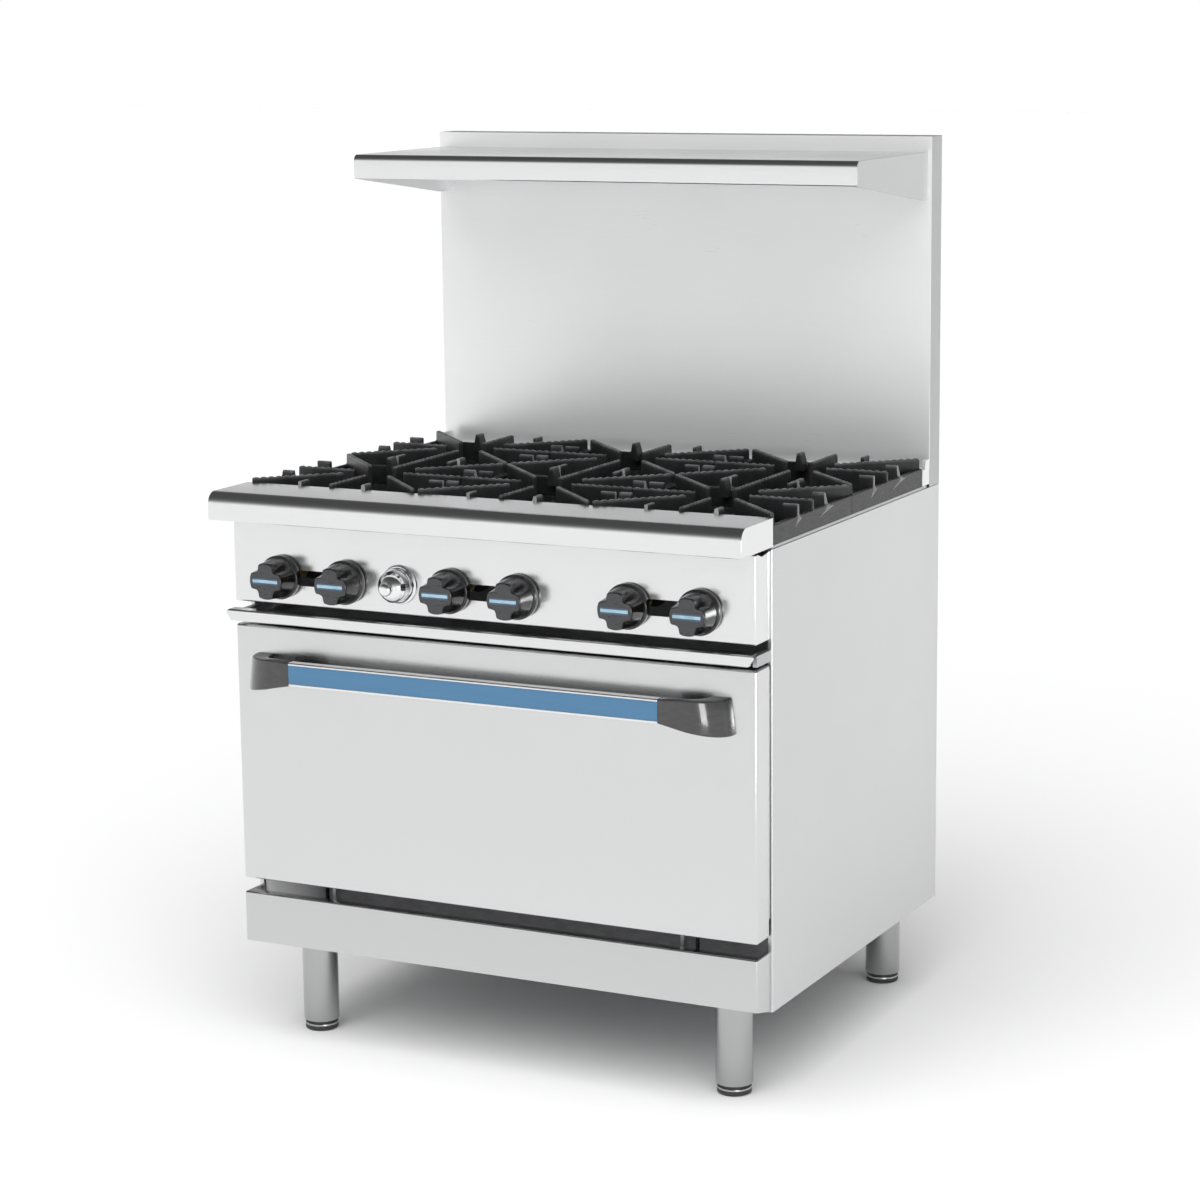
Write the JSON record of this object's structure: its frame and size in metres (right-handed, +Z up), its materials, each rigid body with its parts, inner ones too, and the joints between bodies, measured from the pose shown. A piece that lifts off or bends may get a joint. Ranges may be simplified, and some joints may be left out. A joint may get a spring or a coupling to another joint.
{
  "type": "gas range",
  "caption": "Free-standing gas range with open burners under cast grates, an oven with a drop-down door, turning knobs, a slide-out crumb tray, a back riser and a high shelf.",
  "frame": {"origin": "centre of the bounding box at the floor, under the feet", "axes": "+Z up, +X to the cook's right, +Y towards the wall behind the range"},
  "size_m": [0.9144, 0.807, 1.437],
  "materials": {
    "side_panels": "satin stainless sheet",
    "back_panel": "galvanised sheet, dull",
    "base_frame": "galvanised steel, dull",
    "legs": "satin stainless tube",
    "feet": "dark moulded foot",
    "kick_plate": "brushed stainless sheet",
    "oven_enamel": "dark porcelain enamel on steel",
    "oven_rack": "plated wire",
    "oven_burner": "raw cast iron",
    "door_skin": "brushed stainless sheet",
    "handle_bar": "polished stainless",
    "handle_insert": "satin blue coating",
    "handle_caps": "glossy dark grey moulding",
    "door_hinges": "zinc-plated steel",
    "control_panel": "brushed stainless sheet",
    "front_ledge": "brushed stainless sheet",
    "burner_box": "aluminised steel, dull",
    "burners": "raw cast iron",
    "grates": "matt black cast iron",
    "valves": "machined brass",
    "knobs": "glossy black moulding",
    "crumb_tray": "brushed stainless sheet",
    "gas_manifold": "black pipe",
    "oven_control": "bright chrome",
    "thermostat": "zinc-plated steel",
    "riser_splash": "brushed stainless sheet",
    "riser_housing": "satin steel sheet",
    "high_shelf": "brushed stainless sheet"
  },
  "bodies": {
    "range_body": {"side_panel_left": "side_panels", "side_panel_right": "side_panels", "back_panel": "back_panel", "base_frame": "base_frame", "leg_front_left": "legs", "foot_front_left": "feet", "leg_front_right": "legs", "foot_front_right": "feet", "leg_rear_left": "legs", "foot_rear_left": "feet", "leg_rear_right": "legs", "foot_rear_right": "feet", "kick_plate": "kick_plate", "oven_liner": "oven_enamel", "oven_deck": "oven_enamel", "oven_burner": "oven_burner", "door_hinge_left": "door_hinges", "door_hinge_right": "door_hinges", "control_panel": "control_panel", "front_ledge": "front_ledge", "burner_box": "burner_box", "burner_1": "burners", "burner_valve_1": "valves", "burner_2": "burners", "burner_valve_2": "valves", "burner_3": "burners", "burner_valve_3": "valves", "burner_4": "burners", "burner_valve_4": "valves", "burner_5": "burners", "burner_valve_5": "valves", "burner_6": "burners", "burner_valve_6": "valves", "gas_manifold": "gas_manifold", "oven_control_bezel": "oven_control", "oven_thermostat": "thermostat", "riser_splash": "riser_splash", "riser_housing": "riser_housing", "high_shelf": "high_shelf"},
    "door": {"door_outer_panel": "door_skin", "door_inner_panel": "oven_enamel", "door_handle_bar": "handle_bar", "door_handle_insert": "handle_insert", "handle_cap_left": "handle_caps", "handle_cap_right": "handle_caps"},
    "knob_1": {"burner_knob_1": "knobs"},
    "knob_2": {"burner_knob_2": "knobs"},
    "knob_3": {"burner_knob_3": "knobs"},
    "knob_4": {"burner_knob_4": "knobs"},
    "knob_5": {"burner_knob_5": "knobs"},
    "knob_6": {"burner_knob_6": "knobs"},
    "thermostat_knob": {"oven_control_knob": "oven_control"},
    "loose_grate_1": {"grate_1": "grates"},
    "loose_grate_2": {"grate_2": "grates"},
    "loose_grate_3": {"grate_3": "grates"},
    "loose_grate_4": {"grate_4": "grates"},
    "loose_grate_5": {"grate_5": "grates"},
    "loose_grate_6": {"grate_6": "grates"},
    "tray": {"crumb_tray": "crumb_tray"},
    "rack": {"oven_rack": "oven_rack"}
  },
  "joints": [
    {"name": "door_hinge", "type": "hinge", "parent": "range_body", "child": "door", "pos_m": [0, -0.3115, 0.28], "axis": [1, 0, 0], "range_deg": [0, 90]},
    {"name": "knob_1_turn", "type": "hinge", "parent": "range_body", "child": "knob_1", "pos_m": [-0.3638, -0.3415, 0.772], "axis": [0, -1, 0], "range_deg": [0, 90]},
    {"name": "knob_2_turn", "type": "hinge", "parent": "range_body", "child": "knob_2", "pos_m": [-0.2458, -0.3415, 0.772], "axis": [0, -1, 0], "range_deg": [0, 90]},
    {"name": "knob_3_turn", "type": "hinge", "parent": "range_body", "child": "knob_3", "pos_m": [-0.059, -0.3415, 0.772], "axis": [0, -1, 0], "range_deg": [0, 90]},
    {"name": "knob_4_turn", "type": "hinge", "parent": "range_body", "child": "knob_4", "pos_m": [0.059, -0.3415, 0.772], "axis": [0, -1, 0], "range_deg": [0, 90]},
    {"name": "knob_5_turn", "type": "hinge", "parent": "range_body", "child": "knob_5", "pos_m": [0.2458, -0.3415, 0.772], "axis": [0, -1, 0], "range_deg": [0, 90]},
    {"name": "knob_6_turn", "type": "hinge", "parent": "range_body", "child": "knob_6", "pos_m": [0.3638, -0.3415, 0.772], "axis": [0, -1, 0], "range_deg": [0, 90]},
    {"name": "thermostat_turn", "type": "hinge", "parent": "range_body", "child": "thermostat_knob", "pos_m": [-0.149, -0.3415, 0.775], "axis": [0, -1, 0], "range_deg": [0, 270]},
    {"name": "grate_1_lift", "type": "slide", "parent": "range_body", "child": "loose_grate_1", "axis": [0, 0, 1], "range_m": [0, 0.08]},
    {"name": "grate_2_lift", "type": "slide", "parent": "range_body", "child": "loose_grate_2", "axis": [0, 0, 1], "range_m": [0, 0.08]},
    {"name": "grate_3_lift", "type": "slide", "parent": "range_body", "child": "loose_grate_3", "axis": [0, 0, 1], "range_m": [0, 0.08]},
    {"name": "grate_4_lift", "type": "slide", "parent": "range_body", "child": "loose_grate_4", "axis": [0, 0, 1], "range_m": [0, 0.08]},
    {"name": "grate_5_lift", "type": "slide", "parent": "range_body", "child": "loose_grate_5", "axis": [0, 0, 1], "range_m": [0, 0.08]},
    {"name": "grate_6_lift", "type": "slide", "parent": "range_body", "child": "loose_grate_6", "axis": [0, 0, 1], "range_m": [0, 0.08]},
    {"name": "tray_slide", "type": "slide", "parent": "range_body", "child": "tray", "axis": [0, -1, 0], "range_m": [0, 0.45]},
    {"name": "rack_slide", "type": "slide", "parent": "range_body", "child": "rack", "axis": [0, -1, 0], "range_m": [0, 0.035]}
  ]
}
